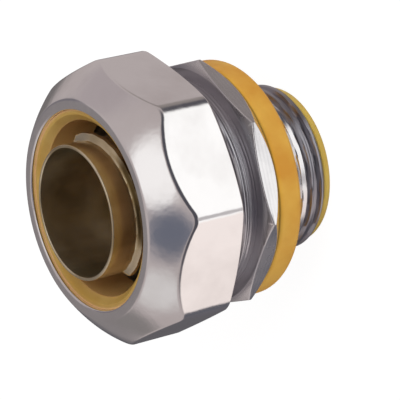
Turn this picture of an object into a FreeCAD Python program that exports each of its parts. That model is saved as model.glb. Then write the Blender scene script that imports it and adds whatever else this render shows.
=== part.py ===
import FreeCAD, Part
import math
import os

import Sketcher

# Straight liquidtight connector for 3/4 inch flexible conduit.
# Millimetres. The axis is Z: the gland nut and the conduit are up, the box thread is down.
# Height zero is the underside of the sealing gasket, the face that meets the wall of the box.

SIDES = 8
HALF_SIDE = f"180 deg / {SIDES}"

# Driving sizes: alias, value, meaning. Diameters unless the name says otherwise.
SIZES = (
    ("conduit_outside", 26.7, "jacket of the conduit that the gland grips"),
    ("conduit_inside", 20.9, "core of the conduit, which slides over the ferrule"),
    ("conduit_clearance", 0.15, "radial room between the jacket and the compression ring"),
    ("socket_clearance", 0.35, "radial room between the jacket and the socket of the body"),
    ("core_clearance", 0.1, "radial room between the core and the ferrule"),
    ("shank_outside", 26.0, "crests of the box thread"),
    ("shank_length", 8.75, "metal shank below the box face"),
    ("shank_chamfer", 0.7, "lead-in at the end of the shank"),
    ("shank_wall", 2.1, "metal between the box thread's crests and the throat"),
    ("shank_relief_depth", 0.7, "plain run-out of the box thread inside the gasket, radial"),
    ("gasket_inset", 0.1, "edge of the gasket inside the octagon's flats, radial"),
    ("gasket_thickness", 4.4, "sealing gasket, free height"),
    ("gasket_clearance", 0.55, "radial room between the gasket and the shank"),
    ("gasket_rounding", 1.0, "radius of the outer edges of the gasket"),
    ("gasket_chamfer", 0.5, "edges of the gasket's bore"),
    ("wrench_across_flats", 37.1, "octagon of the body"),
    ("wrench_length", 2.9, "octagon of the body"),
    ("wrench_bevel_inset", 0.25, "start of the front bevel inside the octagon's flats, radial"),
    ("wrench_bevel_height", 0.7, "turned bevel on the front corners of the octagon"),
    ("wrench_rear_bevel_height", 1.75, "turned bevel on the rear corners, beside the gasket"),
    ("neck_outside", 35.4, "crests of the gland thread"),
    ("neck_length", 13.0, "from the octagon to the end of the neck"),
    ("neck_chamfer", 0.8, "lead-in at the end of the neck"),
    ("relief_width", 1.6, "thread run-out groove beside the octagon"),
    ("relief_depth", 1.0, "thread run-out groove, radial"),
    ("socket_depth", 11.8, "from the end of the neck to the ferrule's seat"),
    ("seat_angle", 32.0, "cone at the mouth of the neck, from the axis, degrees"),
    ("seat_outside", 31.2, "cone at the foot of the compression ring"),
    ("seat_height", 2.4, "cone at the foot of the compression ring"),
    ("seat_clearance", 0.3, "radial room between the two cones of the seat"),
    ("ferrule_wall", 0.5, "sheet thickness of the ferrule"),
    ("ferrule_length", 20.1, "from the flange's seat to the rim"),
    ("ferrule_bend", 0.6, "inside radius where the flange meets the sleeve"),
    ("ferrule_clearance", 0.15, "radial room between the flange and the socket"),
    ("ferrule_turn", -168.0, "where the spiral ridge starts, degrees about the axis"),
    ("ridge_height", 1.1, "spiral ridge that screws into the conduit's core"),
    ("ridge_width", 1.3, "spiral ridge at its foot"),
    ("ridge_lead", 2.5, "advance of the spiral ridge in one turn"),
    ("ridge_turns", 0.5, "length of the spiral ridge, in turns"),
    ("ridge_below_rim", 3.9, "from the rim to the upper end of the ridge"),
    ("liner_clearance", 0.1, "radial room between the liner and the throat"),
    ("liner_wall", 0.8, "sleeve of the throat liner"),
    ("liner_length", 13.5, "sleeve of the throat liner, above its flange"),
    ("liner_flange_thickness", 1.2, "flange that covers the end of the shank"),
    ("liner_rounding", 0.9, "bell mouth that keeps wires off an edge"),
    ("ring_outside", 34.0, "widest part of the compression ring"),
    ("ring_nose_chamfer", 1.0, "lead-in for the conduit at the ring's front"),
    ("ring_nose_clearance", 0.1, "radial room between the ring's nose and the nut's mouth"),
    ("ring_setback", 0.7, "from the nut's lip down to the ring's front face"),
    ("cone_angle", 35.0, "squeezing cone inside the nut, from the axis, degrees"),
    ("cone_clearance", 0.12, "axial room between the nut's cone and the ring"),
    ("nut_across_flats", 41.1, "octagon of the gland nut"),
    ("nut_length", 14.33, "gland nut, rear face to lip"),
    ("nut_standoff", 5.2, "from the body's octagon to the nut when hand-tight"),
    ("nut_turn", 11.46, "rest angle of the nut against the body, degrees"),
    ("nut_edge_rounding", 3.5, "upright edges between the flats"),
    ("nut_thread_clearance", 0.05, "radial room between the nut's bore and the neck"),
    ("nut_bore_chamfer", 0.9, "lead-in at the rear of the nut's bore"),
    ("rear_face_outside", 39.2, "flat at the rear of the nut, inside the bevel"),
    ("rear_bevel_angle", 19.0, "bevel at the rear of the nut, from its face, degrees"),
    ("lip_outside", 33.7, "flat lip at the front of the nut"),
    ("lip_rounding", 0.35, "edges of the lip"),
    ("mouth_inside", 30.6, "opening of the nut"),
    ("mouth_length", 1.3, "straight part of the opening"),
    ("dome_height", 5.6, "from the lip to the dome's foot, where sharp corners would be"),
    ("dome_bulge", 0.3, "how far the dome stands proud of a straight cone"),
)

doc = FreeCAD.newDocument("liquidtight_connector")
sheet = doc.addObject("Spreadsheet::Sheet", "sizes")


class Size:
    """A length or angle: its value, and the sheet expression that gives it."""

    def __init__(self, text, value):
        self.text = text
        self.value = float(value)

    def __add__(self, other):
        other = size(other)
        return Size(f"({self.text} + {other.text})", self.value + other.value)

    def __sub__(self, other):
        other = size(other)
        return Size(f"({self.text} - {other.text})", self.value - other.value)

    def __mul__(self, other):
        other = size(other)
        return Size(f"({self.text} * {other.text})", self.value * other.value)

    def __truediv__(self, other):
        other = size(other)
        return Size(f"({self.text} / {other.text})", self.value / other.value)

    def __neg__(self):
        return Size(f"(0 - {self.text})", -self.value)


def size(number):
    return number if isinstance(number, Size) else Size(repr(float(number)), number)


def tangent(angle):
    return Size(f"tan({angle.text} * 1 deg)", math.tan(math.radians(angle.value)))


def fill_sheet():
    """Write the driving sizes into the sheet, and return each as a Size by its alias."""
    named = {}
    for row, (alias, value, meaning) in enumerate(SIZES, start=1):
        sheet.set(f"A{row}", meaning)
        sheet.set(f"B{row}", str(value))
        sheet.setAlias(f"B{row}", alias)
        named[alias] = Size(f"sizes.{alias}", value)
    doc.recompute()
    return named


S = fill_sheet()

# Heights above the box face, and radii that two pieces share
OCTAGON_FRONT = S["gasket_thickness"] + S["wrench_length"]
NECK_END = OCTAGON_FRONT + S["neck_length"]
SOCKET_FLOOR = NECK_END - S["socket_depth"]
NUT_REAR = OCTAGON_FRONT + S["nut_standoff"]
LIP_OVER_NECK = S["nut_standoff"] + S["nut_length"] - S["neck_length"]
SOCKET_RADIUS = S["conduit_outside"] / 2 + S["socket_clearance"]
SHANK_RADIUS = S["shank_outside"] / 2
THROAT_RADIUS = SHANK_RADIUS - S["shank_wall"]
FERRULE_RADIUS = S["conduit_inside"] / 2 - S["core_clearance"]
FERRULE_BORE_RADIUS = FERRULE_RADIUS - S["ferrule_wall"]
MOUTH_RADIUS = S["mouth_inside"] / 2
CUT_ROOM = 1.0


def new_body(label):
    body = doc.addObject("PartDesign::Body", label)
    body.Label = label
    return body


def origin_plane(body, role):
    for feature in body.Origin.OriginFeatures:
        if feature.Role == role:
            return feature
    raise RuntimeError(f"{body.Label} has no {role}")


def new_sketch(body, name, role="XZ_Plane", height=None):
    """A sketch on one of the body's own planes, lifted along the plane's normal by a height."""
    sketch = body.newObject("Sketcher::SketchObject", name)
    sketch.AttachmentSupport = [(origin_plane(body, role), "")]
    sketch.MapMode = "FlatFace"
    if height is not None:
        sketch.setExpression("AttachmentOffset.Base.z", height.text)
    return sketch


def hold(sketch, kind, *places, to):
    """Add a driving constraint and bind it to the sheet."""
    index = sketch.addConstraint(Sketcher.Constraint(kind, *places, to.value))
    sketch.setExpression(f"Constraints[{index}]", to.text)


def outline(sketch, corners, bulges=None):
    """A closed outline in radius and height. Each corner is held by its own two distances.

    bulges maps the number of an edge to how far an arc stands out to its left.
    """
    bulges = bulges or {}
    corners = [(size(radius), size(height)) for radius, height in corners]
    points = [FreeCAD.Vector(radius.value, height.value, 0) for radius, height in corners]
    ends = []
    for number, start in enumerate(points):
        end = points[(number + 1) % len(points)]
        if number not in bulges:
            edge = sketch.addGeometry(Part.LineSegment(start, end))
            ends.append((edge, 1, 2))
            continue
        # An arc that stands out to the left runs clockwise, so its own first point is the end
        along = end - start
        left = FreeCAD.Vector(-along.y, along.x, 0).normalize()
        bulge = bulges[number].value
        radius = ((along.Length / 2) ** 2 + bulge**2) / (2 * bulge)
        centre = (start + end) * 0.5 - left * (radius - bulge)
        circle = Part.Circle(centre, FreeCAD.Vector(0, 0, 1), radius)
        first = math.atan2(end.y - centre.y, end.x - centre.x)
        last = math.atan2(start.y - centre.y, start.x - centre.x)
        edge = sketch.addGeometry(Part.ArcOfCircle(circle, first, last))
        ends.append((edge, 2, 1))
    for number, (edge, first, last) in enumerate(ends):
        follower, follower_first, _ = ends[(number + 1) % len(ends)]
        sketch.addConstraint(Sketcher.Constraint("Coincident", edge, last, follower, follower_first))
        radius, height = corners[number]
        hold(sketch, "DistanceX", -1, 1, edge, first, to=radius)
        hold(sketch, "DistanceY", -1, 1, edge, first, to=height)
    for number, bulge in bulges.items():
        start = corners[number]
        end = corners[(number + 1) % len(corners)]
        half_across = (end[0] - start[0]) / 2
        half_rise = (end[1] - start[1]) / 2
        squares = half_across * half_across + half_rise * half_rise + bulge * bulge
        hold(sketch, "Radius", ends[number][0], to=squares / (bulge + bulge))


def octagon(sketch, across_flats):
    """A regular octagon about the origin, with a flat square to the X axis."""
    corner_radius = corner_radius_of(across_flats)
    reach = corner_radius.value
    corners = []
    for number in range(SIDES):
        angle = (2 * number + 1) * math.pi / SIDES
        corners.append(FreeCAD.Vector(reach * math.cos(angle), reach * math.sin(angle), 0))
    lines = []
    for number, start in enumerate(corners):
        lines.append(sketch.addGeometry(Part.LineSegment(start, corners[(number + 1) % SIDES])))
    centre = FreeCAD.Vector(0, 0, 0)
    circle = Part.Circle(centre, FreeCAD.Vector(0, 0, 1), reach)
    guide = sketch.addGeometry(circle, True)
    sketch.addConstraint(Sketcher.Constraint("Coincident", guide, 3, -1, 1))
    for number, line in enumerate(lines):
        follower = lines[(number + 1) % SIDES]
        sketch.addConstraint(Sketcher.Constraint("Coincident", line, 2, follower, 1))
        sketch.addConstraint(Sketcher.Constraint("PointOnObject", line, 1, guide))
        if number:
            sketch.addConstraint(Sketcher.Constraint("Equal", lines[0], line))
    sketch.addConstraint(Sketcher.Constraint("Vertical", lines[-1]))
    hold(sketch, "Radius", guide, to=corner_radius)


def corner_radius_of(across_flats):
    return across_flats / 2 / Size(f"cos({HALF_SIDE})", math.cos(math.pi / SIDES))


def pad(body, name, sketch, length):
    feature = body.newObject("PartDesign::Pad", name)
    feature.Profile = sketch
    feature.Length = length.value
    feature.setExpression("Length", length.text)
    doc.recompute()
    return feature


def turned(body, kind, name, corners, bulges=None):
    """A turned feature: the outline is swept once round the axis, to add or to cut."""
    sketch = new_sketch(body, f"{name}_outline")
    outline(sketch, corners, bulges)
    before = body.Shape.Volume if body.Tip else 0.0
    feature = body.newObject(f"PartDesign::{kind}", name)
    feature.Profile = sketch
    feature.ReferenceAxis = (sketch, ["V_Axis"])
    feature.Angle = 360.0
    doc.recompute()
    gained = body.Shape.Volume - before
    if (gained > 0) != (kind == "Revolution"):
        raise RuntimeError(f"{name} changed the volume of {body.Label} by {gained:.3f}")
    return feature


def round_edges(body, name, radius, wanted):
    """Fillet the edges of the body's last feature for which wanted(edge) is true."""
    base = body.Tip
    names = [f"Edge{n}" for n, edge in enumerate(base.Shape.Edges, start=1) if wanted(edge)]
    feature = body.newObject("PartDesign::Fillet", name)
    feature.Base = (base, names)
    feature.Radius = radius.value
    feature.setExpression("Radius", radius.text)
    doc.recompute()
    return feature


def is_circle_at(edge, radius, height):
    curve = edge.Curve
    if not isinstance(curve, Part.Circle):
        return False
    return math.isclose(curve.Radius, radius, abs_tol=1e-4) and math.isclose(
        curve.Center.z, height, abs_tol=1e-4
    )


def place(body, height, turn=None):
    body.setExpression("Placement.Base.z", height.text)
    if turn is not None:
        body.Placement.Rotation = FreeCAD.Rotation(FreeCAD.Vector(0, 0, 1), turn.value)
        body.setExpression("Placement.Rotation.Angle", turn.text)
    doc.recompute()


def make_connector_body():
    """Shank, octagon and neck in one piece, with the throat and the conduit socket through it."""
    body = new_body("connector_body")
    across = S["wrench_across_flats"]
    flange = new_sketch(body, "octagon_outline", "XY_Plane", S["gasket_thickness"])
    octagon(flange, across)
    pad(body, "octagon", flange, S["wrench_length"])

    # Corners turned off at both ends of the octagon, at the rear down to the gasket's width
    corner = corner_radius_of(across)
    rear_bevel_front = S["gasket_thickness"] + S["wrench_rear_bevel_height"]
    turned(body, "Groove", "rear_bevel", [
        (across / 2 - S["gasket_inset"], S["gasket_thickness"]),
        (corner, rear_bevel_front),
        (corner + CUT_ROOM, rear_bevel_front),
        (corner + CUT_ROOM, S["gasket_thickness"] - CUT_ROOM),
    ])
    turned(body, "Groove", "front_bevel", [
        (across / 2 - S["wrench_bevel_inset"], OCTAGON_FRONT),
        (corner + CUT_ROOM, OCTAGON_FRONT + CUT_ROOM),
        (corner + CUT_ROOM, OCTAGON_FRONT - S["wrench_bevel_height"]),
        (corner, OCTAGON_FRONT - S["wrench_bevel_height"]),
    ])

    neck_radius = S["neck_outside"] / 2
    turned(body, "Revolution", "neck", [
        (0, S["gasket_thickness"]),
        (neck_radius, S["gasket_thickness"]),
        (neck_radius, NECK_END - S["neck_chamfer"]),
        (neck_radius - S["neck_chamfer"], NECK_END),
        (0, NECK_END),
    ])
    shank_end = -S["shank_length"]
    turned(body, "Revolution", "shank", [
        (0, shank_end),
        (SHANK_RADIUS - S["shank_chamfer"], shank_end),
        (SHANK_RADIUS, shank_end + S["shank_chamfer"]),
        (SHANK_RADIUS, OCTAGON_FRONT),
        (0, OCTAGON_FRONT),
    ])

    # The box thread runs out at the box face, into a plain groove that the gasket covers
    plain = SHANK_RADIUS - S["shank_relief_depth"]
    turned(body, "Groove", "shank_relief", [
        (plain, S["shank_relief_depth"]),
        (SHANK_RADIUS + CUT_ROOM, -size(CUT_ROOM)),
        (SHANK_RADIUS + CUT_ROOM, S["gasket_thickness"]),
        (plain, S["gasket_thickness"]),
    ])
    turned(body, "Groove", "thread_relief", [
        (neck_radius - S["relief_depth"], OCTAGON_FRONT),
        (neck_radius + CUT_ROOM, OCTAGON_FRONT),
        (neck_radius + CUT_ROOM, OCTAGON_FRONT + S["relief_width"] + S["relief_depth"] + CUT_ROOM),
        (neck_radius - S["relief_depth"], OCTAGON_FRONT + S["relief_width"]),
    ])

    # Throat, flat seat of the ferrule, conduit socket and the cone that squeezes the ring
    cone_radius = S["seat_outside"] / 2 + S["seat_clearance"]
    cone_depth = (cone_radius - SOCKET_RADIUS) / tangent(S["seat_angle"])
    turned(body, "Groove", "bore", [
        (0, shank_end - CUT_ROOM),
        (THROAT_RADIUS, shank_end - CUT_ROOM),
        (THROAT_RADIUS, SOCKET_FLOOR),
        (SOCKET_RADIUS, SOCKET_FLOOR),
        (SOCKET_RADIUS, NECK_END - cone_depth),
        (cone_radius, NECK_END),
        (cone_radius, NECK_END + CUT_ROOM),
        (0, NECK_END + CUT_ROOM),
    ])
    return body


def make_sealing_gasket():
    """Thick moulded ring between the octagon and the wall of the box."""
    body = new_body("sealing_gasket")
    inner = SHANK_RADIUS + S["gasket_clearance"]
    outer = S["wrench_across_flats"] / 2 - S["gasket_inset"]
    thickness = S["gasket_thickness"]
    chamfer = S["gasket_chamfer"]
    turned(body, "Revolution", "ring", [
        (inner, chamfer),
        (inner + chamfer, 0),
        (outer, 0),
        (outer, thickness),
        (inner + chamfer, thickness),
        (inner, thickness - chamfer),
    ])
    edges = (0.0, thickness.value)
    round_edges(
        body,
        "outer_edges",
        S["gasket_rounding"],
        lambda edge: any(is_circle_at(edge, outer.value, height) for height in edges),
    )
    return body


def make_throat_liner():
    """Insulating sleeve in the throat, with a flange over the end of the shank."""
    body = new_body("throat_liner")
    outer = THROAT_RADIUS - S["liner_clearance"]
    inner = outer - S["liner_wall"]
    underside = -S["liner_flange_thickness"]
    flange = SHANK_RADIUS - S["shank_chamfer"]
    turned(body, "Revolution", "sleeve", [
        (inner, underside),
        (flange, underside),
        (flange, 0),
        (outer, 0),
        (outer, S["liner_length"]),
        (inner, S["liner_length"]),
    ])
    round_edges(
        body,
        "bell_mouth",
        S["liner_rounding"],
        lambda edge: is_circle_at(edge, inner.value, underside.value),
    )
    place(body, -S["shank_length"])
    return body


def make_ferrule():
    """Drawn sheet sleeve and flange, with a spiral ridge that screws into the conduit's core."""
    body = new_body("ferrule")
    flange = SOCKET_RADIUS - S["ferrule_clearance"]
    wall = S["ferrule_wall"]
    turned(body, "Revolution", "sleeve", [
        (FERRULE_BORE_RADIUS, 0),
        (flange, 0),
        (flange, wall),
        (FERRULE_RADIUS, wall),
        (FERRULE_RADIUS, S["ferrule_length"]),
        (FERRULE_BORE_RADIUS, S["ferrule_length"]),
    ])
    round_edges(
        body,
        "inside_bend",
        S["ferrule_bend"],
        lambda edge: is_circle_at(edge, FERRULE_RADIUS.value, wall.value),
    )

    # The ridge starts low and climbs as a right-hand thread
    climb = S["ridge_lead"] * S["ridge_turns"]
    low = S["ferrule_length"] - S["ridge_below_rim"] - climb
    foot = FERRULE_RADIUS - wall / 2
    half_width = S["ridge_width"] / 2
    crest = FERRULE_RADIUS + S["ridge_height"]
    section = new_sketch(body, "ridge_outline")
    outline(section, [
        (foot, low - half_width),
        (crest, low - half_width / 2),
        (crest, low + half_width / 2),
        (foot, low + half_width),
    ])
    before = body.Shape.Volume
    ridge = body.newObject("PartDesign::AdditiveHelix", "spiral_ridge")
    ridge.Profile = section
    ridge.ReferenceAxis = (section, ["V_Axis"])
    ridge.Mode = "pitch-turns-angle"
    ridge.Pitch = S["ridge_lead"].value
    ridge.Turns = S["ridge_turns"].value
    ridge.setExpression("Pitch", S["ridge_lead"].text)
    ridge.setExpression("Turns", S["ridge_turns"].text)
    doc.recompute()
    if body.Shape.Volume <= before:
        raise RuntimeError("the spiral ridge adds nothing to the ferrule")
    place(body, SOCKET_FLOOR, S["ferrule_turn"])
    return body


def make_compression_ring():
    """Nylon ring between the nut's cone and the neck, squeezed onto the conduit's jacket."""
    body = new_body("compression_ring")
    bore = S["conduit_outside"] / 2 + S["conduit_clearance"]
    nose = MOUTH_RADIUS - S["ring_nose_clearance"]
    widest = S["ring_outside"] / 2
    front = LIP_OVER_NECK - S["ring_setback"]
    nut_cone_front = LIP_OVER_NECK - S["mouth_length"]
    slope = tangent(S["cone_angle"])
    nose_foot = nut_cone_front - S["cone_clearance"] + S["ring_nose_clearance"] / slope
    seat = S["seat_outside"] / 2
    turned(body, "Revolution", "ring", [
        (bore, -S["seat_height"]),
        (seat - S["seat_height"] * tangent(S["seat_angle"]), -S["seat_height"]),
        (seat, 0),
        (widest, 0),
        (widest, nose_foot - (widest - nose) / slope),
        (nose, nose_foot),
        (nose, front),
        (bore + S["ring_nose_chamfer"], front),
        (bore, front - S["ring_nose_chamfer"]),
    ])
    place(body, NECK_END)
    return body


def make_gland_nut():
    """Octagonal nut with a domed front, a bevelled rear and a squeezing cone inside."""
    body = new_body("gland_nut")
    across = S["nut_across_flats"]
    corner = corner_radius_of(across)
    lip = S["nut_length"]
    prism = new_sketch(body, "flats_outline", "XY_Plane")
    octagon(prism, across)
    pad(body, "flats", prism, lip)
    round_edges(
        body,
        "upright_edges",
        S["nut_edge_rounding"],
        lambda edge: abs(edge.tangentAt(edge.FirstParameter).z) > 0.999,
    )

    # The dome meets the flats in scallops, lowest at the corners
    lip_radius = S["lip_outside"] / 2
    turned(body, "Groove", "dome", [
        (lip_radius, lip),
        (corner, lip - S["dome_height"]),
        (corner + CUT_ROOM, lip - S["dome_height"]),
        (corner + CUT_ROOM, lip + CUT_ROOM),
        (lip_radius, lip + CUT_ROOM),
    ], {0: S["dome_bulge"]})
    rear = S["rear_face_outside"] / 2
    rise = (corner + CUT_ROOM - rear) * tangent(S["rear_bevel_angle"])
    turned(body, "Groove", "rear_bevel", [
        (rear, 0),
        (rear, -size(CUT_ROOM)),
        (corner + CUT_ROOM, -size(CUT_ROOM)),
        (corner + CUT_ROOM, rise),
    ])
    thread = S["neck_outside"] / 2 + S["nut_thread_clearance"]
    cone_front = lip - S["mouth_length"]
    turned(body, "Groove", "bore", [
        (0, -size(CUT_ROOM)),
        (thread + S["nut_bore_chamfer"], -size(CUT_ROOM)),
        (thread + S["nut_bore_chamfer"], 0),
        (thread, S["nut_bore_chamfer"]),
        (thread, cone_front - (thread - MOUTH_RADIUS) / tangent(S["cone_angle"])),
        (MOUTH_RADIUS, cone_front),
        (MOUTH_RADIUS, lip + CUT_ROOM),
        (0, lip + CUT_ROOM),
    ])
    radii = (MOUTH_RADIUS.value, lip_radius.value)
    round_edges(
        body,
        "lip_edges",
        S["lip_rounding"],
        lambda edge: any(is_circle_at(edge, radius, lip.value) for radius in radii),
    )
    place(body, NUT_REAR, S["nut_turn"])
    return body


def check(bodies):
    doc.recompute()
    for feature in doc.Objects:
        if "Invalid" in feature.State or "Error" in feature.State:
            raise RuntimeError(f"{feature.Label} failed: {feature.State}")
    for body in bodies:
        shape = body.Shape
        if shape.isNull() or not shape.isValid() or len(shape.Solids) != 1:
            raise RuntimeError(f"{body.Label} is not one valid solid")


def main():
    bodies = [
        make_connector_body(),
        make_sealing_gasket(),
        make_throat_liner(),
        make_ferrule(),
        make_compression_ring(),
        make_gland_nut(),
    ]
    check(bodies)
    os.makedirs("parts", exist_ok=True)
    for body in bodies:
        body.Shape.exportStep(f"parts/{body.Label}.step")
        box = body.Shape.BoundBox
        print(f"{body.Label}: {body.Shape.Volume:.1f} mm3, z {box.ZMin:.2f} to {box.ZMax:.2f}")


main()
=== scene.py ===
import math

import bpy
from mathutils import Matrix, Vector
from mathutils.kdtree import KDTree


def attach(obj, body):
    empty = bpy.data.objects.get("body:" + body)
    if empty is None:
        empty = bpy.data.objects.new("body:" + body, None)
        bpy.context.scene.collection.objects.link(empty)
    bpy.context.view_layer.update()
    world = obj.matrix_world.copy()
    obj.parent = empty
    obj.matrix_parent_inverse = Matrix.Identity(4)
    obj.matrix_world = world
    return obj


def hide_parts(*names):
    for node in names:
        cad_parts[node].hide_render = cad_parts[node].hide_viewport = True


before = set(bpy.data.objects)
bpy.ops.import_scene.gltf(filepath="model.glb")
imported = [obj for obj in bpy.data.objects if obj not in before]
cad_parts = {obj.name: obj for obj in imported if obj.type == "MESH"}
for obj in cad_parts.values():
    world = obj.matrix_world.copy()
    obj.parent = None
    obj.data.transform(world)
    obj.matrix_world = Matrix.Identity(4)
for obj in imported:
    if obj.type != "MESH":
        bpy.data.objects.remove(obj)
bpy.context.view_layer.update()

MM = 0.001

# Sizes in millimetres: heights along the axis, and distances from it. The solids have the same ones, apart
# from the roundings of the nut's lip and scallops and the rim of the ring, and their threads are plain

# Body
BOX_FACE = 0.0
SHANK_END = -8.75
SHANK_RADIUS = 13.0
SHANK_CHAMFER = 0.7
SHANK_RELIEF_RADIUS = 12.3
THROAT_RADIUS = 10.9
SOCKET_RADIUS = 13.7
SOCKET_FLOOR = 8.5
OCTAGON_FRONT = 7.3
BODY_FLAT = 18.55
BODY_CORNER = 20.079
BODY_EDGE_ROUNDING = 0.3
FRONT_BEVEL_START = 18.3
FRONT_BEVEL_HEIGHT = 0.7
REAR_BEVEL_START = 18.45
REAR_BEVEL_HEIGHT = 1.75
NECK_RADIUS = 17.7
NECK_END = 20.3
NECK_CHAMFER = 0.8
NECK_RELIEF_RADIUS = 16.7
NECK_RELIEF_TOP = 8.9
NECK_THREAD_FOOT = 9.9
SEAT_RADIUS = 15.9
SEAT_FOOT = 16.78

# Gland nut
NUT_FLAT = 20.55
NUT_EDGE_ROUNDING = 3.5
NUT_TURN = math.radians(11.46)
NUT_REAR = 12.5
NUT_BORE = 17.75
NUT_CHAMFER = 0.9
NUT_CONE_FOOT = 22.03
REAR_FACE_RADIUS = 19.6
REAR_BEVEL = math.radians(19)
LIP = 26.83
LIP_RADIUS = 16.85
LIP_ROUNDING = 0.9
MOUTH_RADIUS = 15.3
MOUTH_FOOT = 25.53
DOME_FOOT = 21.23
DOME_FOOT_RADIUS = 22.243
DOME_BULGE = 0.3
DOME_STEPS = 12
SCALLOP_ROUNDING = 1.3

# Sealing gasket
GASKET_TOP = 4.4
GASKET_RADIUS = 18.45
GASKET_ROUNDING = 1.0
GASKET_BORE = 13.55
GASKET_CHAMFER = 0.5

# Throat liner
LINER_TOP = 4.75
LINER_END = -9.95
LINER_BORE = 10.0
LINER_MOUTH_ROUNDING = 0.9
LINER_RADIUS = 10.8
LINER_FLANGE_RADIUS = 12.3

# Ferrule
FERRULE_BORE = 9.85
FERRULE_RADIUS = 10.35
FERRULE_END = 28.6
FERRULE_FLANGE_RADIUS = 13.55
FERRULE_FLANGE_TOP = 9.0

# Spiral ridge of the ferrule: where it starts and how far it turns, its height at the start and its lead,
# how far it stands proud, half the width of its crown and of its foot, and the angle over which it runs out
RIDGE_START = math.radians(-168)
RIDGE_TURN = math.pi
RIDGE_LOW = 23.45
RIDGE_LEAD = 2.5
RIDGE_RISE = 1.1
RIDGE_CROWN = 0.3
RIDGE_FOOT = 0.75
RIDGE_RUN_OUT = 0.12
RIDGE_ROWS_LOW = 22.0
RIDGE_ROWS_HIGH = 26.2

# Compression ring. The rim of its front swells to close the hairline at the nut's mouth
RING_REAR = 17.9
RING_BORE = 13.5
RING_NOSE_RADIUS = 14.1
RING_SHOULDER_RADIUS = 15.6
RING_RADIUS = 17.0
RING_CONE_FOOT = 22.98
RING_CONE_TOP = 25.55
RING_FRONT_RADIUS = 15.2
RING_RIM_FOOT = 25.75
RING_RIM_TOP = 25.85
RING_RIM_RADIUS = 15.28
RING_FRONT = 26.13
RING_MOUTH_RADIUS = 14.5
RING_MOUTH_FOOT = 25.13

SIDES = 8
SECTOR = 2 * math.pi / SIDES

# Threads, all right-hand: spacing, depth, the shares of the wave's height at which its crest and its root
# are cut flat, and the length over which an end runs out. THREAD_SHIFT moves the turns of the box thread
# along the axis, so that a crest lies beside the plain band, the part without thread next to the gasket.
# NUT_THREAD_END is the length without thread in the nut's bore, under its cone
BOX_PITCH = 25.4 / 14
BOX_THREAD_DEPTH = 0.65
BOX_CREST = 0.48
PLAIN_BAND = 1.2
THREAD_SHIFT = 0.3
GLAND_PITCH = 1.5
GLAND_THREAD_DEPTH = 0.6
NUT_THREAD_DEPTH = 0.75
NUT_THREAD_END = 1.2
FINE_CREST = 0.12
ROOT = 0.92
BODY_RUN_OUT = 0.5
NUT_RUN_OUT = 0.6

# Spacing of the rows of faces that show a thread or the ridge
BOX_ROWS = 0.15
NECK_ROWS = 0.13
NUT_ROWS = 0.15
RIDGE_ROWS = 0.1

# Shortest reach of a rounding, and the share of a side that one rounding may take
SHORTEST_REACH = 0.02
SIDE_SHARE = 0.49

# A point belongs to a wall, or to another point, when it is this near
NEAR_WALL = 0.01
NEAR_POINT = 0.0002


def deselect():
    if bpy.context.object and bpy.context.object.mode != "OBJECT":
        bpy.ops.object.mode_set(mode="OBJECT")
    bpy.ops.object.select_all(action="DESELECT")


def eased(corners):
    """An outline of (radius, height, rounding, steps) corners as points, with rounded corners as arcs."""
    points = []
    for number, corner in enumerate(corners):
        here = Vector(corner[:2])
        if len(corner) == 2:
            points.append(here)
            continue
        rounding, steps = corner[2:]
        before = Vector(corners[number - 1][:2]) - here
        after = Vector(corners[(number + 1) % len(corners)][:2]) - here
        half = before.angle(after) / 2
        reach = max(rounding / math.tan(half), SHORTEST_REACH)
        reach = min(reach, SIDE_SHARE * before.length, SIDE_SHARE * after.length)
        start = here + before.normalized() * reach
        end = here + after.normalized() * reach
        for step in range(steps + 1):
            part = step / steps
            points.append(start.lerp(here, part).lerp(here.lerp(end, part), part))
    return points


def rows_between(start, end, spacing, radius):
    """Points of a straight wall between two heights, without its ends."""
    count = max(1, round(abs(end - start) / spacing))
    return [(radius, start + (end - start) * step / count) for step in range(1, count)]


def on_wall(point, radius):
    return abs(point.x - radius) < NEAR_WALL


def spin_outline(name, points, steps):
    """Draws a closed outline from one vertex by extruding it, and spins it once round the axis."""
    deselect()
    bpy.ops.mesh.primitive_plane_add(size=MM, location=(0, 0, 0))
    piece = bpy.context.object
    piece.name = name
    bpy.ops.object.mode_set(mode="EDIT")
    bpy.ops.mesh.merge(type="CENTER")
    bpy.ops.transform.translate(value=(points[0].x * MM, 0, points[0].y * MM))
    for here, there in zip(points, points[1:] + points[:1]):
        step = (there - here) * MM
        bpy.ops.mesh.extrude_vertices_move(TRANSFORM_OT_translate={"value": (step.x, 0, step.y)})
    bpy.ops.mesh.select_all(action="SELECT")
    bpy.ops.mesh.spin(steps=steps, angle=2 * math.pi, center=(0, 0, 0), axis=(0, 0, 1))
    close_up()
    return piece


def close_up():
    """Joins the seams of the mesh in edit mode and turns its faces outwards."""
    bpy.ops.mesh.select_all(action="SELECT")
    bpy.ops.mesh.remove_doubles(threshold=NEAR_POINT * MM)
    bpy.ops.mesh.normals_make_consistent(inside=False)
    bpy.ops.object.mode_set(mode="OBJECT")


def reform(piece, points, steps, section):
    """Moves every vertex of a spun piece to its place in the section of its own column.

    section(column) gives the angle of the column and its outline, point for point.
    """
    nearest = KDTree(len(points))
    for row, point in enumerate(points):
        nearest.insert((point.x, point.y, 0), row)
    nearest.balance()
    columns = [section(column) for column in range(steps)]
    for vertex in piece.data.vertices:
        x, y, z = vertex.co / MM
        column = round(math.atan2(y, x) / (2 * math.pi) * steps) % steps
        _, row, _ = nearest.find((math.hypot(x, y), z, 0))
        angle, outline = columns[column]
        radius, height = outline[row]
        vertex.co = Vector((radius * math.cos(angle), radius * math.sin(angle), height)) * MM
    piece.data.update()


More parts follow.
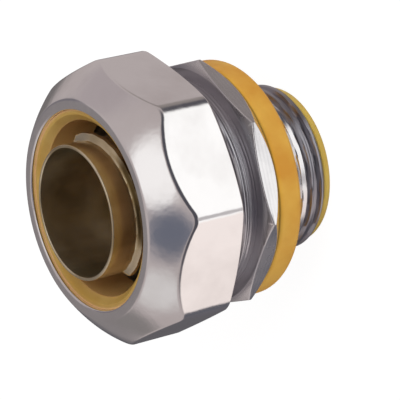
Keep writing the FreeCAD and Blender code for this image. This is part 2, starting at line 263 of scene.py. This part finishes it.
def octagon_columns(flat, rounding, arc_steps, flat_steps):
    """Angle and radius of each column of one rounded octagon, sector by sector, from corner to corner."""
    half_side = (flat - rounding) * math.tan(SECTOR / 2)
    spots = []
    for step in range(arc_steps):
        turn = SECTOR / 2 * (1 - step / arc_steps)
        spots.append((flat - rounding + rounding * math.cos(turn), -half_side - rounding * math.sin(turn)))
    for step in range(flat_steps + 1):
        spots.append((flat, half_side * (2 * step / flat_steps - 1)))
    for step in range(1, arc_steps):
        turn = SECTOR / 2 * step / arc_steps
        spots.append((flat - rounding + rounding * math.cos(turn), half_side + rounding * math.sin(turn)))
    columns = []
    for side in range(SIDES):
        for out, along in spots:
            columns.append((side * SECTOR + math.atan2(along, out), math.hypot(out, along)))
    return columns


def thread_cut(height, angle, pitch, depth, low, high, run_out, crest=FINE_CREST):
    """How deep a thread lies under its crest at a height and angle, with its ends run out at low and high."""
    phase = (height / pitch - angle / (2 * math.pi)) % 1.0
    groove = 0.5 - 0.5 * math.cos(2 * math.pi * phase)
    groove = min(max((groove - crest) / (ROOT - crest), 0.0), 1.0)
    start = min(max((height - low) / run_out, 0.0), 1.0)
    end = min(max((high - height) / run_out, 0.0), 1.0)
    return depth * groove * start * end


def finish_piece(piece, body, node, material, smooth_below=40):
    """Smooths a piece, gives it its material and hands it to the frame in place of its solid."""
    deselect()
    piece.select_set(True)
    bpy.context.view_layer.objects.active = piece
    bpy.ops.object.shade_smooth_by_angle(angle=math.radians(smooth_below))
    weighted = piece.modifiers.new("weighted", "WEIGHTED_NORMAL")
    weighted.keep_sharp = True
    bpy.ops.object.modifier_apply(modifier=weighted.name)
    piece.data.materials.clear()
    piece.data.materials.append(material)
    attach(piece, body)
    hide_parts(node)


# Materials

# Heights between which the body keeps its bright colour. Below them, on the thread of the shank, it is greyer
# and rougher. Above them, on the octagon's front and the neck, its colour carries painted shade, for the gap
# between the nut and the octagon. ZONE_EDGE is half the width of the change, and THREAD_LINES how many times
# deeper the tool's lines are there
BODY_BRIGHT_ZONE = (-4.95, 7.1)
ZONE_EDGE = 0.15
SHANK_TINT = "#A09EA4"
NECK_PAINTED_SHADE = "#C4C2C6"
THREAD_ROUGHNESS = 0.28
THREAD_LINES = 6

# Orange peel of the casting, as a share of the depth of its waves, and depth of the lines of the draw
PEEL_SHARE = 0.12
DRAW_DEPTH = 0.01

# Where the painted shade on the ridge begins and is full, along Y, and the radii between which the ridge
# leaves the wall
RIDGE_SHADE_SIDE = (-8.2, -10.0)
RIDGE_EDGE = (10.45, 10.75)


def linear(code):
    """An sRGB hex colour as a linear RGBA tuple."""
    channels = [int(code[place:place + 2], 16) / 255 for place in (1, 3, 5)]
    return tuple(c / 12.92 if c <= 0.04045 else ((c + 0.055) / 1.055) ** 2.4 for c in channels) + (1.0,)


def new_material(name):
    material = bpy.data.materials.new(name)
    material.use_nodes = True
    material.node_tree.nodes.clear()
    return material, material.node_tree


def add(tree, kind, inputs=None, links=None, **settings):
    """Adds a node, sets its properties and inputs, and links other nodes' outputs into it."""
    node = tree.nodes.new(kind)
    for key, value in settings.items():
        setattr(node, key, value)
    for key, value in (inputs or {}).items():
        node.inputs[key].default_value = value
    for key, output in (links or {}).items():
        tree.links.new(output, node.inputs[key])
    return node


def mixed(tree, share, first, second):
    """The output of a node that mixes two colours by a share. Each colour is a tuple or a node's output."""
    factor, first_input, second_input, result = 0, 6, 7, 2
    fixed, linked = {}, {factor: share}
    for key, colour in ((first_input, first), (second_input, second)):
        if isinstance(colour, tuple):
            fixed[key] = colour
        else:
            linked[key] = colour
    return add(tree, "ShaderNodeMix", fixed, linked, data_type="RGBA").outputs[result]


def bump(tree, depth, height, normal=None):
    """Adds a relief of this depth, in millimetres, on top of another one's normal."""
    links = {"Height": height}
    if normal is not None:
        links["Normal"] = normal
    return add(tree, "ShaderNodeBump", {"Strength": 1.0, "Distance": depth * MM}, links)


def bright_zinc(name, colour, dull_colour, roughness, wave_depth, line_depth, bright_zone=None):
    """Bright zinc plate: a thin, faintly warm mirror over what the casting or the tool left.

    Outside bright_zone, two heights in millimetres, it is greyer and rougher. Above the zone the grey is
    painted shade.
    """
    material, tree = new_material(name)
    place = add(tree, "ShaderNodeTexCoord").outputs["Object"]
    # Tumbled casting: soft waves about 3 mm long, and on them an orange peel of about 0.5 mm
    waves = add(tree, "ShaderNodeTexNoise", {"Scale": 330.0, "Detail": 2.0, "Roughness": 0.5},
                {"Vector": place})
    peel = add(tree, "ShaderNodeTexNoise", {"Scale": 2000.0, "Detail": 3.0, "Roughness": 0.6},
               {"Vector": place})
    # Lines that the lathe left round the axis, drawn 0.6 mm apart, coarser than real, so that they show
    lines = add(tree, "ShaderNodeTexWave",
                {"Scale": 520.0, "Distortion": 1.5, "Detail": 2.0, "Detail Scale": 0.4},
                {"Vector": place}, wave_type="BANDS", bands_direction="Z")
    # Dull patches about 9 mm wide
    stains = add(tree, "ShaderNodeTexNoise", {"Scale": 110.0, "Detail": 4.0, "Roughness": 0.55},
                 {"Vector": place}).outputs["Fac"]
    dull = add(tree, "ShaderNodeMapRange", {"From Min": 0.45, "From Max": 0.75, "To Min": 0.0, "To Max": 0.6},
               {"Value": stains})
    tint = mixed(tree, dull.outputs["Result"], linear(colour), linear(dull_colour))
    gloss = add(tree, "ShaderNodeMapRange",
                {"From Min": 0.3, "From Max": 0.8, "To Min": roughness * 0.8, "To Max": roughness * 1.5},
                {"Value": stains})
    wavy = bump(tree, wave_depth, waves.outputs["Fac"])
    peeled = bump(tree, wave_depth * PEEL_SHARE, peel.outputs["Fac"], wavy.outputs["Normal"])
    lined = bump(tree, line_depth, lines.outputs["Fac"], peeled.outputs["Normal"])
    if bright_zone:
        low, high = bright_zone
        spot = add(tree, "ShaderNodeSeparateXYZ", links={"Vector": place})
        below = add(tree, "ShaderNodeMapRange",
                    {"From Min": (low + ZONE_EDGE) * MM, "From Max": (low - ZONE_EDGE) * MM},
                    {"Value": spot.outputs["Z"]}).outputs["Result"]
        above = add(tree, "ShaderNodeMapRange",
                    {"From Min": (high - ZONE_EDGE) * MM, "From Max": (high + ZONE_EDGE) * MM},
                    {"Value": spot.outputs["Z"]}).outputs["Result"]
        outside = add(tree, "ShaderNodeMath", links={0: below, 1: above},
                      operation="MAXIMUM").outputs["Value"]
        # Painted shade above the zone, on the octagon's front and the neck; a greyer tint below it, on the
        # shank
        tint = mixed(tree, above, tint, linear(NECK_PAINTED_SHADE))
        tint = mixed(tree, below, tint, linear(SHANK_TINT))
        gloss = add(tree, "ShaderNodeMapRange", {"To Max": THREAD_ROUGHNESS},
                    {"Value": outside, "To Min": gloss.outputs["Result"]})
        scored = add(tree, "ShaderNodeMapRange",
                     {"To Min": line_depth * MM, "To Max": line_depth * THREAD_LINES * MM},
                     {"Value": outside})
        tree.links.new(scored.outputs["Result"], lined.inputs["Distance"])
    shader = add(tree, "ShaderNodeBsdfPrincipled", {"Metallic": 1.0},
                 {"Base Color": tint, "Roughness": gloss.outputs["Result"],
                  "Normal": lined.outputs["Normal"]})
    add(tree, "ShaderNodeOutputMaterial", links={"Surface": shader.outputs["BSDF"]})
    return material


def chromate_sheet():
    """Drawn steel sheet under yellow chromate: olive gold that drifts in hue, with fine lines of the draw."""
    material, tree = new_material("yellow_chromate_drawn_sheet")
    place = add(tree, "ShaderNodeTexCoord").outputs["Object"]
    # The film drifts over about 9 mm. The lines of the draw are about 5 mm long and drawn 0.4 mm apart,
    # coarser than real, so that they show
    film = add(tree, "ShaderNodeTexNoise", {"Scale": 110.0, "Detail": 3.0, "Roughness": 0.5},
               {"Vector": place})
    stretched = add(tree, "ShaderNodeMapping", {"Scale": (1.0, 1.0, 0.08)}, {"Vector": place})
    draw = add(tree, "ShaderNodeTexNoise", {"Scale": 2600.0, "Detail": 2.0},
               {"Vector": stretched.outputs["Vector"]}).outputs["Fac"]
    hues = add(tree, "ShaderNodeValToRGB", links={"Fac": film.outputs["Fac"]})
    ramp = hues.color_ramp
    ramp.elements[0].position = 0.34
    ramp.elements[0].color = linear("#A49472")
    ramp.elements[1].position = 0.66
    ramp.elements[1].color = linear("#E6DABC")
    ramp.elements.new(0.5).color = linear("#C8B896")
    # Painted shade: the ridge is dark brown on its side towards -Y
    spot = add(tree, "ShaderNodeSeparateXYZ", links={"Vector": place})
    side = add(tree, "ShaderNodeMapRange", {"From Min": RIDGE_SHADE_SIDE[0] * MM, "From Max": RIDGE_SHADE_SIDE[1] * MM},
               {"Value": spot.outputs["Y"]}, interpolation_type="SMOOTHSTEP")
    flattened = add(tree, "ShaderNodeMapping", {"Scale": (1.0, 1.0, 0.0)}, {"Vector": place})
    radius = add(tree, "ShaderNodeVectorMath", links={0: flattened.outputs["Vector"]}, operation="LENGTH")
    proud = add(tree, "ShaderNodeMapRange", {"From Min": RIDGE_EDGE[0] * MM, "From Max": RIDGE_EDGE[1] * MM},
                {"Value": radius.outputs["Value"]})
    ridge_shade = add(tree, "ShaderNodeMath", links={0: side.outputs["Result"], 1: proud.outputs["Result"]},
                operation="MULTIPLY")
    tint = mixed(tree, ridge_shade.outputs["Value"], hues.outputs["Color"], linear("#62543A"))
    gloss = add(tree, "ShaderNodeMapRange", {"To Min": 0.16, "To Max": 0.3}, {"Value": draw})
    grooves = bump(tree, DRAW_DEPTH, draw)
    shader = add(tree, "ShaderNodeBsdfPrincipled", {"Metallic": 0.93},
                 {"Base Color": tint, "Roughness": gloss.outputs["Result"],
                  "Normal": grooves.outputs["Normal"]})
    add(tree, "ShaderNodeOutputMaterial", links={"Surface": shader.outputs["BSDF"]})
    return material


def moulded_plastic(name, colour, shade, roughness, grain, scatter, recess=0.0, painted_recess_colour=None):
    """Moulded plastic: one colour through and through, a faint mottle, and the mould's fine grain.

    Closer than recess to another surface it takes a second colour, which paints light or shade there:
    painted glow where that colour is lighter, painted shade where it is darker.
    """
    material, tree = new_material(name)
    place = add(tree, "ShaderNodeTexCoord").outputs["Object"]
    # The mottle is about 5.5 mm wide. The grain is drawn about 0.3 mm wide, coarser than real, so that it
    # shows
    mottle = add(tree, "ShaderNodeTexNoise", {"Scale": 180.0, "Detail": 4.0},
                 {"Vector": place}).outputs["Fac"]
    fine = add(tree, "ShaderNodeTexNoise", {"Scale": 3200.0, "Detail": 2.0},
               {"Vector": place}).outputs["Fac"]
    blend = add(tree, "ShaderNodeMapRange", {"From Min": 0.35, "From Max": 0.7}, {"Value": mottle})
    tint = mixed(tree, blend.outputs["Result"], linear(colour), linear(shade))
    if recess:
        # Painted light and shade: the colour changes with how enclosed the surface is
        open_sky = add(tree, "ShaderNodeAmbientOcclusion", {"Distance": recess * MM}, samples=12)
        deep = add(tree, "ShaderNodeMapRange", {"From Min": 0.8, "From Max": 0.5},
                   {"Value": open_sky.outputs["AO"]})
        tint = mixed(tree, deep.outputs["Result"], tint, linear(painted_recess_colour))
    gloss = add(tree, "ShaderNodeMapRange", {"To Min": roughness - 0.06, "To Max": roughness + 0.1},
                {"Value": mottle})
    relief = bump(tree, grain, fine)
    shader = add(tree, "ShaderNodeBsdfPrincipled",
                 {"IOR": 1.53, "Subsurface Weight": scatter, "Subsurface Scale": 0.001,
                  "Subsurface Radius": (1.0, 0.6, 0.25)},
                 {"Base Color": tint, "Roughness": gloss.outputs["Result"],
                  "Normal": relief.outputs["Normal"]})
    add(tree, "ShaderNodeOutputMaterial", links={"Surface": shader.outputs["BSDF"]})
    return material


nut_zinc = bright_zinc("bright_zinc_on_tumbled_casting", "#F2F0EF", "#E2DEDC", roughness=0.15,
                       wave_depth=0.05, line_depth=0.0005)
body_zinc = bright_zinc("bright_zinc_on_turned_steel", "#EAE8E8", "#CCC9CA", roughness=0.22,
                        wave_depth=0.015, line_depth=0.006, bright_zone=BODY_BRIGHT_ZONE)
ferrule_chromate = chromate_sheet()
# The ring's recess takes a lighter, warmer colour: painted glow, for light that the nylon lets through
ring_nylon = moulded_plastic("moulded_nylon_ring", "#C2A050", "#B28C3C", roughness=0.42, grain=0.004,
                             scatter=0.12, recess=4.0, painted_recess_colour="#FFCA8E")
liner_nylon = moulded_plastic("moulded_nylon_liner", "#E4C660", "#D8B850", roughness=0.4, grain=0.003,
                              scatter=0.15)
# The gasket takes a dark olive next to the octagon: painted shade
gasket_vinyl = moulded_plastic("moulded_soft_vinyl_gasket", "#E9B646", "#DC9C2E", roughness=0.5, grain=0.008,
                               scatter=0.1, recess=1.0, painted_recess_colour="#8E7024")


# Gland nut

def dome_at(radius):
    """Height of the dome's arc at a radius. The arc stands DOME_BULGE proud of the cone under it."""
    lip = Vector((LIP_RADIUS, LIP))
    chord = Vector((DOME_FOOT_RADIUS, DOME_FOOT)) - lip
    arc_radius = (chord.length ** 2 / 4 + DOME_BULGE ** 2) / (2 * DOME_BULGE)
    inward = Vector((chord.y, -chord.x)).normalized()
    centre = lip + chord / 2 + inward * (arc_radius - DOME_BULGE)
    return centre.y + math.sqrt(arc_radius ** 2 - (radius - centre.x) ** 2)


def nut_outline(radius):
    """Section of the nut where its octagon is this far from the axis, from the mouth outwards and back."""
    dome = []
    # The last step before the scallop is left out, to give its rounding room
    for step in range(1, DOME_STEPS - 1):
        spot = LIP_RADIUS + (radius - LIP_RADIUS) * step / DOME_STEPS
        dome.append((spot, dome_at(spot)))
    scallop = dome_at(radius)
    rear = NUT_REAR + (radius - REAR_FACE_RADIUS) * math.tan(REAR_BEVEL)
    return eased([
        (MOUTH_RADIUS, MOUTH_FOOT, 0.1, 2),
        (MOUTH_RADIUS, LIP, 0.35, 4),
        (LIP_RADIUS, LIP, LIP_ROUNDING, 6),
        *dome,
        (radius, scallop, SCALLOP_ROUNDING, 8),
        (radius, scallop + (rear - scallop) * 0.25),
        (radius, scallop + (rear - scallop) * 0.5),
        (radius, scallop + (rear - scallop) * 0.75),
        (radius, rear, 0.25, 3),
        (REAR_FACE_RADIUS, NUT_REAR, 0.15, 2),
        (NUT_BORE + NUT_CHAMFER, NUT_REAR, 0.1, 2),
        (NUT_BORE, NUT_REAR + NUT_CHAMFER),
        *rows_between(NUT_REAR + NUT_CHAMFER, NUT_CONE_FOOT, NUT_ROWS, NUT_BORE),
        (NUT_BORE, NUT_CONE_FOOT, 0.2, 2),
    ])


def make_gland_nut():
    spots = octagon_columns(NUT_FLAT, NUT_EDGE_ROUNDING, arc_steps=5, flat_steps=22)
    blank = nut_outline(spots[0][1])
    piece = spin_outline("gland_nut_cast", blank, len(spots))

    def section(column):
        angle, radius = spots[column]
        angle += NUT_TURN
        outline = []
        for point in nut_outline(radius):
            cut = 0.0
            if on_wall(point, NUT_BORE):
                cut = thread_cut(point.y, angle, GLAND_PITCH, NUT_THREAD_DEPTH, NUT_REAR + NUT_CHAMFER,
                                 NUT_CONE_FOOT - NUT_THREAD_END, NUT_RUN_OUT)
            outline.append((point.x + cut, point.y))
        return angle, outline

    reform(piece, blank, len(spots), section)
    finish_piece(piece, "nut", "gland_nut", nut_zinc)


# Body: shank, octagon and neck

def body_outline(radius):
    """Section of the body where its octagon is this far from the axis, from the throat outwards and back."""
    front_share = (radius - FRONT_BEVEL_START) / (BODY_CORNER - FRONT_BEVEL_START)
    rear_share = (radius - REAR_BEVEL_START) / (BODY_CORNER - REAR_BEVEL_START)
    front = OCTAGON_FRONT - FRONT_BEVEL_HEIGHT * front_share
    rear = GASKET_TOP + REAR_BEVEL_HEIGHT * rear_share
    return eased([
        (THROAT_RADIUS, SOCKET_FLOOR),
        (THROAT_RADIUS, SHANK_END, 0.2, 2),
        (SHANK_RADIUS - SHANK_CHAMFER, SHANK_END, 0.1, 2),
        (SHANK_RADIUS, SHANK_END + SHANK_CHAMFER),
        *rows_between(SHANK_END + SHANK_CHAMFER, BOX_FACE, BOX_ROWS, SHANK_RADIUS),
        (SHANK_RADIUS, BOX_FACE),
        (SHANK_RELIEF_RADIUS, BOX_FACE + SHANK_RADIUS - SHANK_RELIEF_RADIUS),
        (SHANK_RELIEF_RADIUS, GASKET_TOP),
        (REAR_BEVEL_START, GASKET_TOP, 0.05, 2),
        (radius, rear, 0.15, 3),
        (radius, (rear + front) / 2),
        (radius, front, 0.2, 3),
        (FRONT_BEVEL_START, OCTAGON_FRONT, 0.2, 3),
        (NECK_RELIEF_RADIUS, OCTAGON_FRONT),
        (NECK_RELIEF_RADIUS, NECK_RELIEF_TOP),
        (NECK_RADIUS, NECK_THREAD_FOOT),
        *rows_between(NECK_THREAD_FOOT, NECK_END - NECK_CHAMFER, NECK_ROWS, NECK_RADIUS),
        (NECK_RADIUS, NECK_END - NECK_CHAMFER),
        (NECK_RADIUS - NECK_CHAMFER, NECK_END, 0.1, 2),
        (SEAT_RADIUS, NECK_END, 0.1, 2),
        (SOCKET_RADIUS, SEAT_FOOT),
        (SOCKET_RADIUS, SOCKET_FLOOR),
    ])


def make_connector_body():
    spots = octagon_columns(BODY_FLAT, BODY_EDGE_ROUNDING, arc_steps=3, flat_steps=18)
    blank = body_outline(spots[0][1])
    piece = spin_outline("connector_body_turned", blank, len(spots))

    def section(column):
        angle, radius = spots[column]
        outline = []
        for point in body_outline(radius):
            cut = 0.0
            if on_wall(point, SHANK_RADIUS):
                cut = thread_cut(point.y + THREAD_SHIFT, angle, BOX_PITCH, BOX_THREAD_DEPTH,
                                 SHANK_END + SHANK_CHAMFER + THREAD_SHIFT, BOX_FACE - PLAIN_BAND,
                                 BODY_RUN_OUT, BOX_CREST)
            if on_wall(point, NECK_RADIUS):
                cut = thread_cut(point.y, angle, GLAND_PITCH, GLAND_THREAD_DEPTH,
                                 NECK_THREAD_FOOT, NECK_END - NECK_CHAMFER, BODY_RUN_OUT)
            outline.append((point.x - cut, point.y))
        return angle, outline

    reform(piece, blank, len(spots), section)
    finish_piece(piece, "connector", "connector_body", body_zinc, smooth_below=32)


def make_gasket():
    outline = eased([
        (GASKET_BORE, BOX_FACE + GASKET_CHAMFER, 0.2, 2),
        (GASKET_BORE + GASKET_CHAMFER, BOX_FACE, 0.2, 2),
        (GASKET_RADIUS, BOX_FACE, GASKET_ROUNDING, 6),
        (GASKET_RADIUS, GASKET_TOP, GASKET_ROUNDING, 6),
        (GASKET_BORE + GASKET_CHAMFER, GASKET_TOP, 0.2, 2),
        (GASKET_BORE, GASKET_TOP - GASKET_CHAMFER, 0.2, 2),
    ])
    piece = spin_outline("sealing_gasket_moulded", outline, steps=160)
    finish_piece(piece, "connector", "sealing_gasket", gasket_vinyl)


def make_liner():
    outline = eased([
        (LINER_BORE, LINER_TOP, 0.2, 2),
        (LINER_BORE, LINER_END, LINER_MOUTH_ROUNDING, 6),
        (LINER_FLANGE_RADIUS, LINER_END, 0.35, 4),
        (LINER_FLANGE_RADIUS, SHANK_END, 0.25, 3),
        (LINER_RADIUS, SHANK_END),
        (LINER_RADIUS, LINER_TOP, 0.2, 2),
    ])
    piece = spin_outline("throat_liner_moulded", outline, steps=128)
    finish_piece(piece, "connector", "throat_liner", liner_nylon)


# Ferrule: drawn sleeve and flange, with the spiral ridge rolled out of its wall

def ridge_height(height, angle):
    """How far the sleeve stands proud of its wall at a height and angle."""
    along = (angle - RIDGE_START) % (2 * math.pi)
    centre = RIDGE_LOW + RIDGE_LEAD * along / (2 * math.pi)
    ends = min(1.0, along / RIDGE_RUN_OUT, (RIDGE_TURN - along) / RIDGE_RUN_OUT)
    if ends <= 0:
        return 0.0
    off = abs(height - centre)
    swell = min(max((RIDGE_FOOT - off) / (RIDGE_FOOT - RIDGE_CROWN), 0.0), 1.0)
    swell = swell * swell * (3 - 2 * swell)
    return RIDGE_RISE * swell * math.sqrt(ends)


def make_ferrule():
    outline = eased([
        (FERRULE_BORE, FERRULE_END, 0.2, 3),
        (FERRULE_BORE, SOCKET_FLOOR),
        (FERRULE_FLANGE_RADIUS, SOCKET_FLOOR),
        (FERRULE_FLANGE_RADIUS, FERRULE_FLANGE_TOP, 0.15, 2),
        (FERRULE_RADIUS, FERRULE_FLANGE_TOP, 0.6, 4),
        *rows_between(RIDGE_ROWS_LOW, RIDGE_ROWS_HIGH, RIDGE_ROWS, FERRULE_RADIUS),
        (FERRULE_RADIUS, FERRULE_END, 0.2, 3),
    ])
    steps = 192
    piece = spin_outline("ferrule_drawn", outline, steps)

    def section(column):
        angle = 2 * math.pi * column / steps
        points = []
        for point in outline:
            rise = ridge_height(point.y, angle) if on_wall(point, FERRULE_RADIUS) else 0.0
            points.append((point.x + rise, point.y))
        return angle, points

    reform(piece, outline, steps, section)
    finish_piece(piece, "connector", "ferrule", ferrule_chromate)


def make_ring():
    outline = eased([
        (RING_BORE, RING_REAR, 0.1, 2),
        (RING_NOSE_RADIUS, RING_REAR, 0.1, 2),
        (RING_SHOULDER_RADIUS, NECK_END, 0.1, 2),
        (RING_RADIUS, NECK_END, 0.15, 2),
        (RING_RADIUS, RING_CONE_FOOT, 0.3, 3),
        (RING_FRONT_RADIUS, RING_CONE_TOP, 0.1, 2),
        (RING_FRONT_RADIUS, RING_RIM_FOOT, 0.05, 2),
        (RING_RIM_RADIUS, RING_RIM_TOP, 0.05, 2),
        (RING_RIM_RADIUS, RING_FRONT, 0.05, 2),
        (RING_MOUTH_RADIUS, RING_FRONT, 0.15, 3),
        (RING_BORE, RING_MOUTH_FOOT, 0.2, 3),
    ])
    piece = spin_outline("compression_ring_moulded", outline, steps=160)
    finish_piece(piece, "gland_ring", "compression_ring", ring_nylon)


make_gland_nut()
make_connector_body()
make_gasket()
make_liner()
make_ferrule()
make_ring()


# Camera, at the photograph's angle: sensor, lens and spot in millimetres, and two of its axes

SENSOR = 36.0
LENS = 235.71
CAMERA_SPOT = (13.217, -337.601, 223.683)
CAMERA_RIGHT = (-0.2082, -0.53601, -0.81813)
CAMERA_UP = (0.97731, -0.0807, -0.19583)


def make_camera():
    data = bpy.data.cameras.new("camera")
    data.sensor_width = SENSOR
    data.lens = LENS
    data.clip_start = 0.01
    data.clip_end = 20.0
    camera = bpy.data.objects.new("camera", data)
    bpy.context.scene.collection.objects.link(camera)
    right = Vector(CAMERA_RIGHT).normalized()
    up = Vector(CAMERA_UP)
    up = (up - right * up.dot(right)).normalized()
    back = right.cross(up)
    rows = [(right[axis], up[axis], back[axis], CAMERA_SPOT[axis] * MM) for axis in range(3)]
    camera.matrix_world = Matrix((*rows, (0, 0, 0, 1)))
    bpy.context.scene.camera = camera


make_camera()


# Floor, lamps and surroundings. The floor's size, and the lamps' spots, sizes and aim, are in metres

FLOOR_SIZE = 6.0
FLOOR_WHITE = (0.9, 0.9, 0.9, 1.0)
FLOOR_GLOW = 1.1
GLOW_SHARE = 0.85
ROOM_STRENGTH = 1.15
ROOM_COLOUR = "#ADA4A4"
LAMP_AIM = (0, 0, 0.008)
WHITE = (1.0, 1.0, 1.0, 1.0)

# Soft screens and dark gaps of the room as the metal sees them: middle and half sizes as
# directions, softness of the edge, colour. A later one covers an earlier one
SCREENS = (
    ((0.30, -0.80, -0.52), (0.52, 0.55, 0.40), 0.25, "#FFFFFF"),
    ((-0.20, -0.85, -0.52), (0.55, 0.50, 0.40), 0.25, "#FFFFFF"),
    ((-0.80, -0.38, -0.50), (0.42, 0.38, 0.40), 0.25, "#F0E6E3"),
    ((0.25, -0.45, 0.83), (0.38, 0.34, 0.35), 0.25, "#EFEDED"),
    ((0.87, 0.40, 0.36), (0.35, 0.45, 0.35), 0.40, "#A1989A"),
    ((-0.80, 0.14, 0.60), (0.18, 0.30, 0.28), 0.35, "#CAC7C7"),
    ((-0.42, -0.42, 0.78), (0.27, 0.30, 0.35), 0.45, "#626572"),
    ((-0.22, 0.90, 0.22), (0.60, 0.30, 0.50), 0.30, "#7E797A"),
    ((-0.68, 0.68, 0.24), (0.20, 0.20, 0.26), 0.40, "#7C7878"),
    ((0.20, 0.95, -0.36), (0.30, 0.26, 0.30), 0.40, "#6C6868"),
    ((0.32, 0.83, 0.40), (0.28, 0.25, 0.24), 0.35, "#6E6A70"),
    ((-0.30, 0.79, -0.54), (0.40, 0.45, 0.35), 0.35, "#5A585C"),
    ((-0.62, 0.50, -0.54), (0.26, 0.26, 0.35), 0.35, "#5E5C62"),
    ((-0.85, 0.12, -0.54), (0.24, 0.24, 0.35), 0.30, "#5A5A62"),
    ((0.90, 0.02, -0.46), (0.16, 0.22, 0.40), 0.35, "#87807E"),
    ((-0.15, -0.80, 0.04), (1.22, 0.66, 0.44), 0.25, "#4A4950"),
    ((0.69, -0.26, -0.54), (0.19, 0.24, 0.30), 0.35, "#4A4950"),
    ((-0.32, -0.80, -0.54), (0.11, 0.40, 0.30), 0.40, "#B4B0B2"),
)


def make_floor():
    """A white floor under the object, white to the camera, with a faint soft shadow."""
    deselect()
    bpy.ops.mesh.primitive_plane_add(size=FLOOR_SIZE, location=(0, 0, LINER_END * MM))
    floor = bpy.context.object
    floor.name = "studio_floor"
    material, tree = new_material("white_studio_floor")
    path = add(tree, "ShaderNodeLightPath")
    matt = add(tree, "ShaderNodeBsdfDiffuse", {"Color": FLOOR_WHITE})
    glow = add(tree, "ShaderNodeEmission", {"Color": WHITE, "Strength": FLOOR_GLOW})
    share = add(tree, "ShaderNodeMath", {1: GLOW_SHARE}, {0: path.outputs["Is Camera Ray"]},
                operation="MULTIPLY")
    blend = add(tree, "ShaderNodeMixShader", links={"Fac": share.outputs["Value"], 1: matt.outputs["BSDF"],
                                                    2: glow.outputs["Emission"]})
    add(tree, "ShaderNodeOutputMaterial", links={"Surface": blend.outputs["Shader"]})
    floor.data.materials.append(material)
    floor.visible_glossy = False


def make_surroundings():
    """A white room to the camera. The metal sees soft white and grey screens and dark gaps round it."""
    world = bpy.data.worlds.new("studio")
    bpy.context.scene.world = world
    world.use_nodes = True
    tree = world.node_tree
    tree.nodes.clear()
    direction = add(tree, "ShaderNodeTexCoord").outputs["Generated"]
    colour = linear(ROOM_COLOUR)
    for middle, half_sizes, softness, shade in SCREENS:
        off = add(tree, "ShaderNodeVectorMath", {1: middle}, {0: direction}, operation="SUBTRACT")
        scaled = add(tree, "ShaderNodeVectorMath", {1: half_sizes}, {0: off.outputs["Vector"]},
                     operation="DIVIDE")
        reach = add(tree, "ShaderNodeVectorMath", links={0: scaled.outputs["Vector"]}, operation="LENGTH")
        share = add(tree, "ShaderNodeMapRange", {"From Min": 1.0 + softness, "From Max": 1.0 - softness},
                    {"Value": reach.outputs["Value"]}, interpolation_type="SMOOTHSTEP")
        colour = mixed(tree, share.outputs["Result"], colour, linear(shade))
    path = add(tree, "ShaderNodeLightPath")
    seen = mixed(tree, path.outputs["Is Camera Ray"], colour, WHITE)
    background = add(tree, "ShaderNodeBackground", {"Strength": ROOM_STRENGTH}, {"Color": seen})
    add(tree, "ShaderNodeOutputWorld", links={"Surface": background.outputs["Background"]})


def make_lamp(name, spot, watts, size):
    """A soft square lamp, aimed at the middle of the object."""
    data = bpy.data.lights.new(name, "AREA")
    data.energy = watts
    data.size = size
    lamp = bpy.data.objects.new(name, data)
    bpy.context.scene.collection.objects.link(lamp)
    lamp.location = Vector(spot)
    lamp.rotation_mode = "QUATERNION"
    lamp.rotation_quaternion = (Vector(LAMP_AIM) - lamp.location).to_track_quat("-Z", "Y")
    lamp.visible_glossy = False


make_floor()
make_surroundings()
make_lamp("key_lamp", (0.25, -0.45, 0.45), watts=2.0, size=0.35)
make_lamp("fill_lamp", (-0.5, -0.2, 0.3), watts=0.6, size=0.4)

bpy.context.scene.view_settings.view_transform = "Standard"
